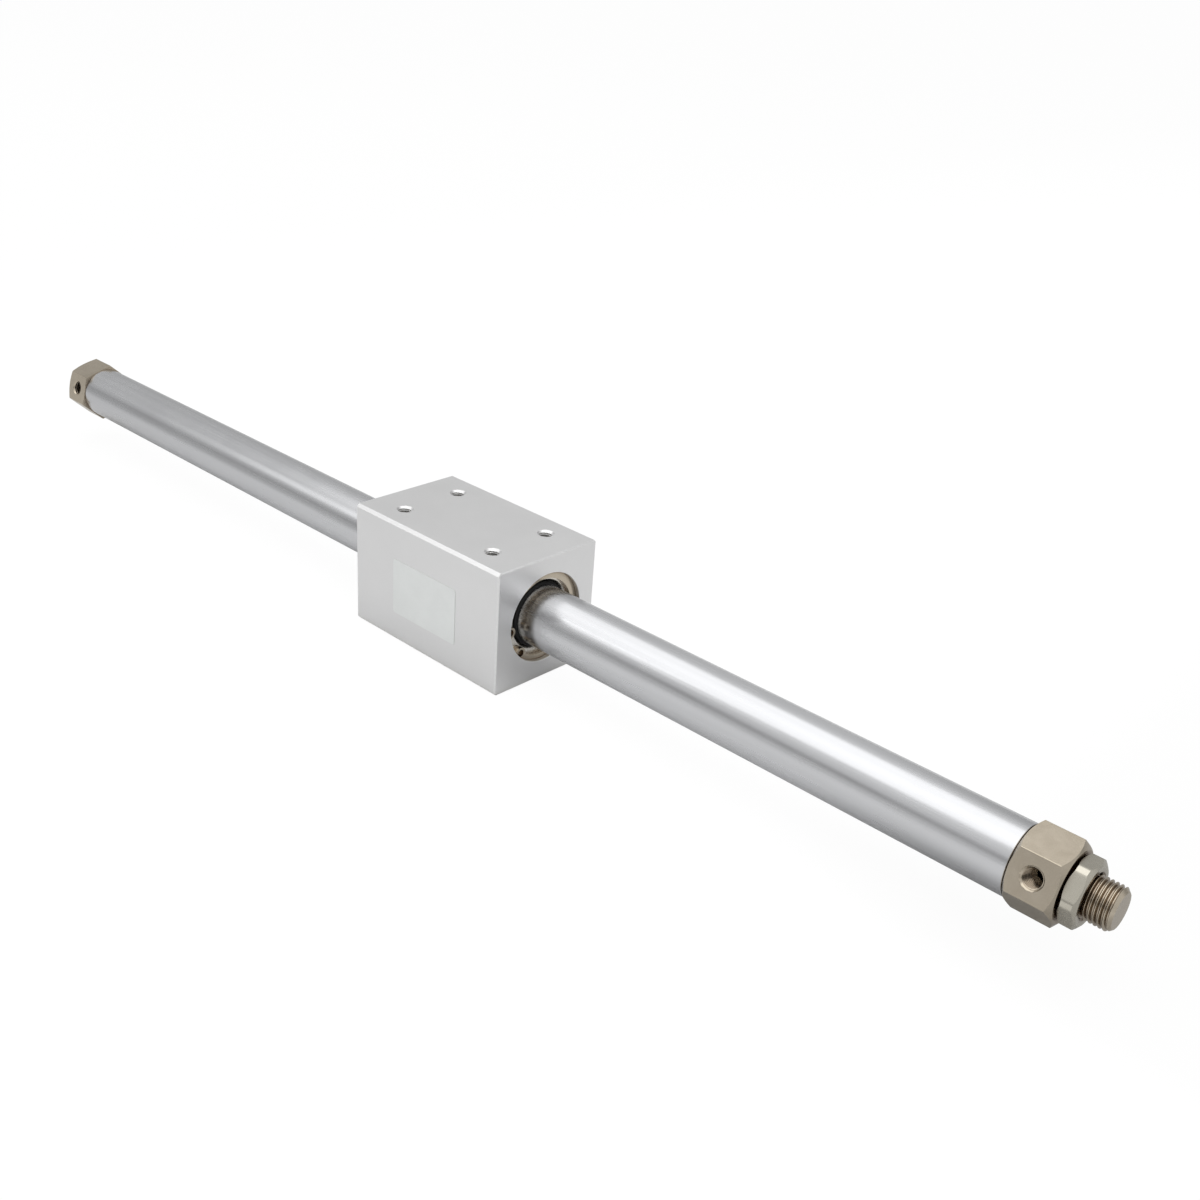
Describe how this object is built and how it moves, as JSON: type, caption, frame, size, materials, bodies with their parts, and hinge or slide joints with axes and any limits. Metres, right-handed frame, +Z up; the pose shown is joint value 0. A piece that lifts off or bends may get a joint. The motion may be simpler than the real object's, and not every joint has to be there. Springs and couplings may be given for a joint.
{
  "type": "rodless pneumatic cylinder",
  "caption": "Rodless air cylinder: a square carriage block, magnetically coupled to the piston inside, slides along a thin steel tube between hexagonal end covers.",
  "frame": {"origin": "on the tube's axis, midway along the overall length", "axes": "+X along the tube towards the threaded nose, +Z up, out of the carriage's mounting face"},
  "size_m": [0.393, 0.035, 0.035],
  "materials": {
    "stainless_tube": "drawn and polished stainless steel",
    "nickel_plate": "satin electroless nickel plate",
    "anodised_block": "fine matte clear anodised",
    "ring_plate": "nickel plated spring steel",
    "magnet": "nickel plated sintered magnet",
    "zinc_steel": "zinc plated rolled steel",
    "stainless_shaft": "turned stainless steel",
    "chromated_aluminium": "clear chromated, turned",
    "nitrile_rubber": "smooth moulded rubber",
    "urethane": "moulded urethane",
    "bearing_resin": "filled bearing resin",
    "porous_resin": "oil-soaked porous resin"
  },
  "bodies": {
    "cylinder": {"cylinder_tube": "stainless_tube", "front_cover": "nickel_plate", "rear_cover": "nickel_plate", "mounting_nut": "nickel_plate", "front_tube_gasket": "nitrile_rubber", "front_bumper": "urethane", "rear_tube_gasket": "nitrile_rubber", "rear_bumper": "urethane"},
    "piston": {"piston_shaft": "stainless_shaft", "piston_magnet_1": "magnet", "piston_magnet_2": "magnet", "piston_magnet_3": "magnet", "piston_magnet_4": "magnet", "piston_yoke_1": "zinc_steel", "piston_yoke_2": "zinc_steel", "piston_yoke_3": "zinc_steel", "piston_yoke_4": "zinc_steel", "piston_yoke_5": "zinc_steel", "front_piston": "chromated_aluminium", "front_piston_nut": "zinc_steel", "front_piston_seal": "nitrile_rubber", "front_piston_wear_ring": "bearing_resin", "rear_piston": "chromated_aluminium", "rear_piston_nut": "zinc_steel", "rear_piston_seal": "nitrile_rubber", "rear_piston_wear_ring": "bearing_resin"},
    "carriage": {"carriage_block": "anodised_block", "magnet_sleeve": "chromated_aluminium", "carriage_magnet_1": "magnet", "carriage_magnet_2": "magnet", "carriage_magnet_3": "magnet", "carriage_magnet_4": "magnet", "carriage_yoke_1": "zinc_steel", "carriage_yoke_2": "zinc_steel", "carriage_yoke_3": "zinc_steel", "carriage_yoke_4": "zinc_steel", "carriage_yoke_5": "zinc_steel", "front_magnet_spacer": "zinc_steel", "front_bearing_holder": "chromated_aluminium", "front_carriage_wear_ring": "bearing_resin", "front_lube_retainer": "porous_resin", "front_scraper": "nitrile_rubber", "front_seat_washer": "ring_plate", "front_retaining_ring": "ring_plate", "rear_magnet_spacer": "zinc_steel", "rear_bearing_holder": "chromated_aluminium", "rear_carriage_wear_ring": "bearing_resin", "rear_lube_retainer": "porous_resin", "rear_scraper": "nitrile_rubber", "rear_seat_washer": "ring_plate", "rear_retaining_ring": "ring_plate"}
  },
  "joints": [
    {"name": "piston_slide", "type": "slide", "parent": "cylinder", "child": "piston", "axis": [1, 0, 0], "range_m": [-0.1648, 0.1352]},
    {"name": "carriage_turn", "type": "hinge", "parent": "piston", "child": "carriage", "pos_m": [0.0098, 0, 0], "axis": [1, 0, 0], "continuous": true}
  ]
}
